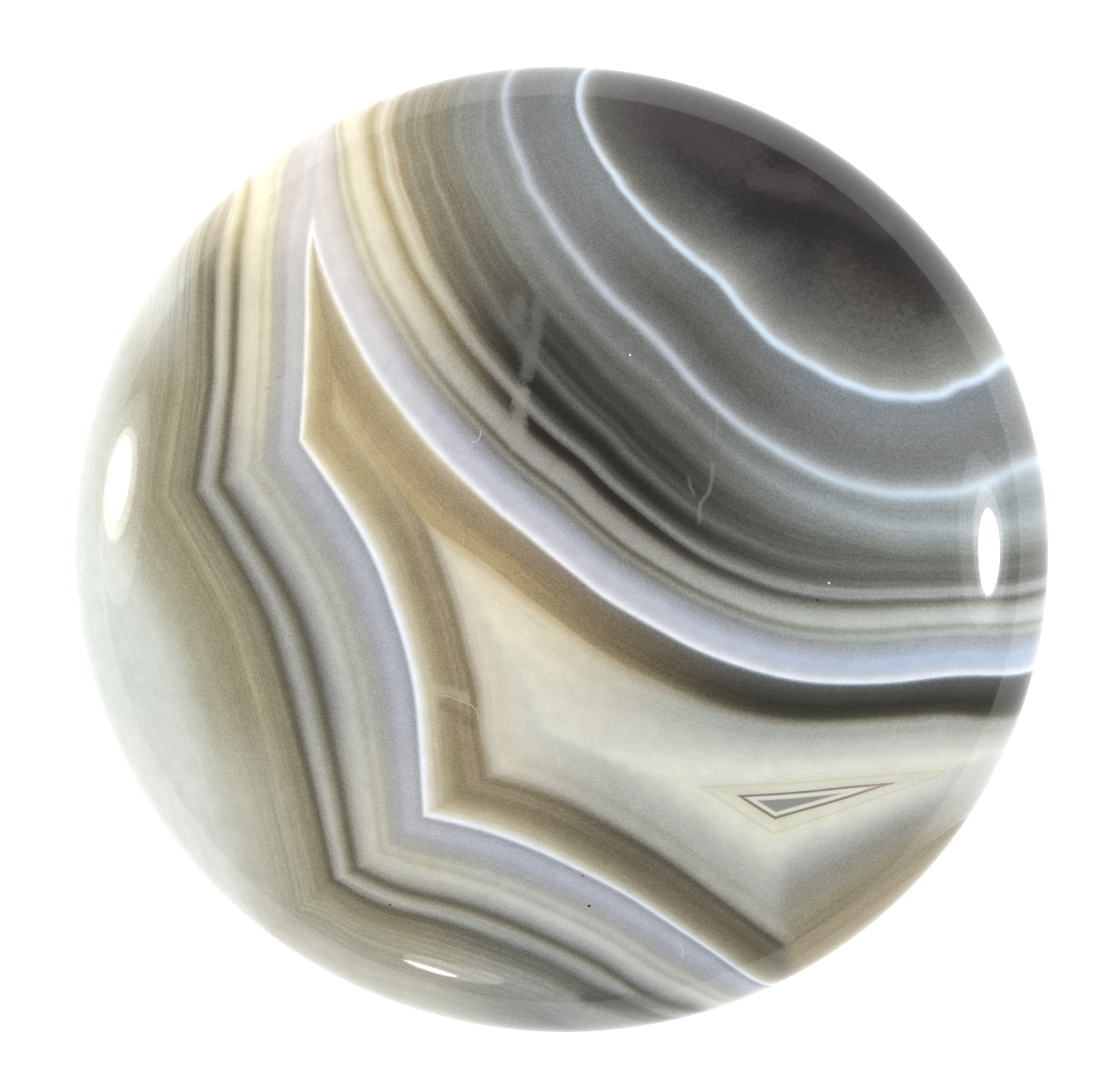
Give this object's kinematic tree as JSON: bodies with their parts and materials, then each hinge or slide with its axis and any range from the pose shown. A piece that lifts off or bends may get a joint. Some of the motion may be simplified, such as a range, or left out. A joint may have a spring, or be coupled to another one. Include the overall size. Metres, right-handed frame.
{
  "type": "botswana agate palm stone",
  "caption": "Round, low domed palm stone of banded grey, cream and brown agate, polished all over, with a small flat foot underneath.",
  "frame": {"origin": "centre of the stone's foot, on the surface that it rests on", "axes": "+Z up through the crown of the face, +X to the right and +Y up across the face as pictured"},
  "size_m": [0.06, 0.0596, 0.0214],
  "materials": {
    "agate": "polished, banded"
  },
  "bodies": {
    "root": {"stone": "agate"}
  },
  "joints": []
}
